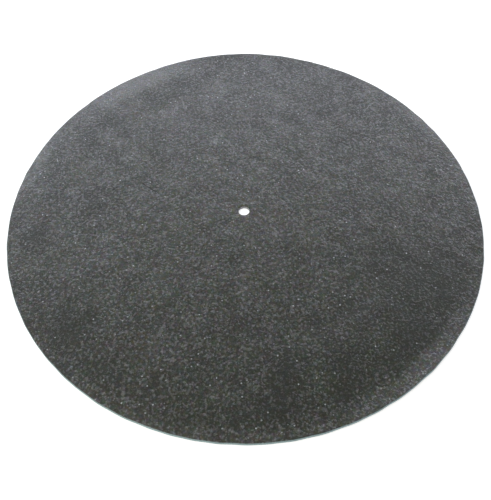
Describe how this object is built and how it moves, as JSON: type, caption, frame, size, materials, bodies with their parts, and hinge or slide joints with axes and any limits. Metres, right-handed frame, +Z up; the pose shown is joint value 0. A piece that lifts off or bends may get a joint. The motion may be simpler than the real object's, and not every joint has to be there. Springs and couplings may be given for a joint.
{
  "type": "turntable platter mat",
  "caption": "Thin round black leather mat with a central spindle hole, which lies on a turntable platter under the record.",
  "frame": {"origin": "centre of the spindle hole, on the surface that the mat lies on", "axes": "+Z up through the spindle hole, out of the grain side; +Y away from a viewer at the front"},
  "size_m": [0.2997, 0.3002, 0.0036],
  "materials": {
    "leather": "matte"
  },
  "bodies": {
    "root": {"mat": "leather"}
  },
  "joints": []
}
